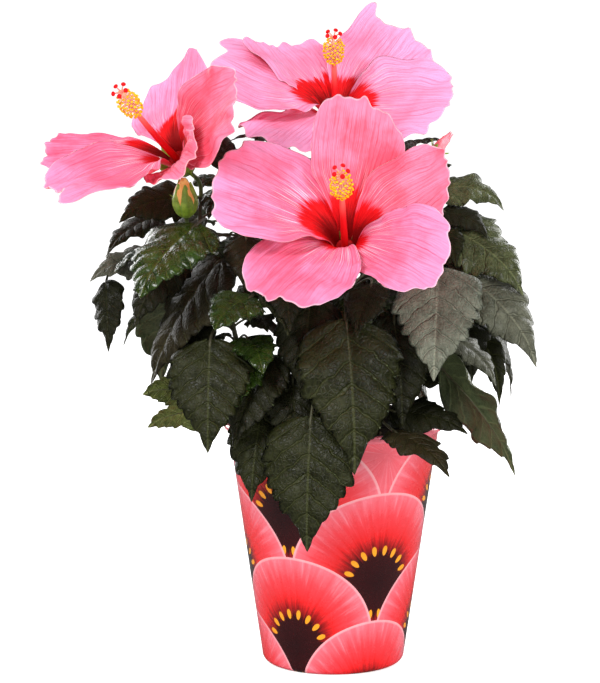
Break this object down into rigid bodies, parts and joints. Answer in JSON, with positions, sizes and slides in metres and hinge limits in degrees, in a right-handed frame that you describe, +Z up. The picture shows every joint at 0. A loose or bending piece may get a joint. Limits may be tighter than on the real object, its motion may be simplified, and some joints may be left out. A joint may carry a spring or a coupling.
{
  "type": "potted hibiscus shrub in bloom",
  "caption": "Small bushy hibiscus in a round tapered pot, with large open ruffled blooms, buds and toothed glossy leaves on branching woody stems.",
  "frame": {"origin": "centre of the pot's flat underside, on the surface it stands on", "axes": "+Z up along the pot's axis; -Y is the side that the lowest bloom faces"},
  "size_m": [0.2938, 0.2732, 0.3954],
  "materials": {
    "pot": "gloss",
    "soil": "matt",
    "bark": "matt",
    "leaf": "satin",
    "petal": "matt",
    "pollen": "matt",
    "sepal": "matt"
  },
  "bodies": {
    "root": {"bloom_front_calyx": "sepal", "bloom_front_column": "pollen", "bloom_front_petals": "petal", "bloom_left_calyx": "sepal", "bloom_left_column": "pollen", "bloom_left_petals": "petal", "bloom_top_calyx": "sepal", "bloom_top_column": "pollen", "bloom_top_petals": "petal", "bough_back_left": "bark", "bough_back_low": "bark", "bough_back_right": "bark", "bough_front": "bark", "bough_front_left": "bark", "bough_left": "bark", "bough_left_low": "bark", "bough_right": "bark", "bough_right_low": "bark", "bough_top": "bark", "bud_left": "sepal", "bud_right": "sepal", "leaves_back_left": "leaf", "leaves_back_low": "leaf", "leaves_back_right": "leaf", "leaves_foot_back": "leaf", "leaves_foot_front": "leaf", "leaves_foot_left": "leaf", "leaves_foot_right": "leaf", "leaves_front": "leaf", "leaves_front_left": "leaf", "leaves_left_high": "leaf", "leaves_left_low": "leaf", "leaves_right_high": "leaf", "leaves_right_low": "leaf", "leaves_top": "leaf", "pot": "pot", "soil": "soil", "trunk": "bark"}
  },
  "joints": []
}
